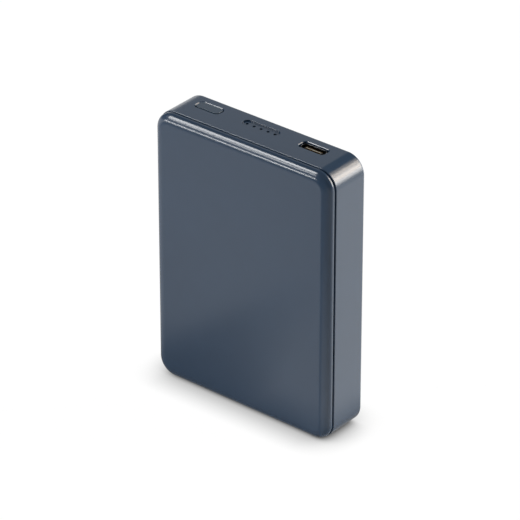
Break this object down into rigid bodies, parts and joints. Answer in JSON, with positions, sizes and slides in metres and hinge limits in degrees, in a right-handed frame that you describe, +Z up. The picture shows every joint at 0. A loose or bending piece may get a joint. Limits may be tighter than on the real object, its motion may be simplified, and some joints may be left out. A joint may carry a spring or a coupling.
{
  "type": "power bank",
  "caption": "Slim pocket power bank: a rounded rear shell with a clip-on pillow-edged front cover, a press button, a row of charge lights and one USB-C socket on its top edge.",
  "frame": {"origin": "middle of the bottom face, where the case stands", "axes": "+Z up the case to the edge with the controls, -Y out of the front cover, +X towards the socket"},
  "size_m": [0.066, 0.0164, 0.09],
  "materials": {
    "case_slate": "satin moulded plastic, fine grain",
    "button_slate": "satin moulded plastic",
    "light_guide_clear": "smoked clear moulding",
    "board_green": "solder mask",
    "screw_steel": "plated",
    "socket_steel": "drawn and plated",
    "black_moulding": "moulded",
    "contact_gold": "gold flash",
    "plunger_ivory": "moulded",
    "tinned_metal": "tinned",
    "led_white": "moulded",
    "chip_black": "moulded",
    "ferrite_grey": "pressed ferrite",
    "capacitor_amber": "moulded",
    "capacitor_tan": "fired",
    "cell_foil": "laminated foil",
    "tab_aluminium": "rolled",
    "tab_nickel": "rolled",
    "paper_cream": "pressed",
    "lead_red": "silicone",
    "lead_black": "silicone",
    "adhesive_white": "tissue tape",
    "foam_grey": "closed-cell foam"
  },
  "bodies": {
    "case": {"rear_shell": "case_slate", "front_cover": "case_slate", "light_guide": "light_guide_clear", "main_board": "board_green", "board_screws": "screw_steel", "usb_socket_shell": "socket_steel", "usb_socket_core": "black_moulding", "usb_socket_contacts": "contact_gold", "switch_body": "black_moulding", "switch_terminals": "tinned_metal", "indicator_leds": "led_white", "controller_chip": "chip_black", "power_transistors": "chip_black", "power_inductor": "ferrite_grey", "bulk_capacitors": "capacitor_amber", "ceramic_capacitors": "capacitor_tan", "chip_resistors": "chip_black", "sense_resistor": "chip_black", "cell_pouch": "cell_foil", "cell_tab_positive": "tab_aluminium", "cell_tab_negative": "tab_nickel", "insulating_paper": "paper_cream", "protection_board": "board_green", "protection_chips": "chip_black", "lead_positive": "lead_red", "lead_negative": "lead_black", "solder_joints": "tinned_metal", "cell_adhesive": "adhesive_white", "cell_foam_pad": "foam_grey"},
    "button": {"power_button": "button_slate", "switch_plunger": "plunger_ivory"}
  },
  "joints": [
    {"name": "button_press", "type": "slide", "parent": "case", "child": "button", "axis": [0, 0, -1], "range_m": [0, 0.00035], "stiffness_N_per_m": 4000}
  ]
}
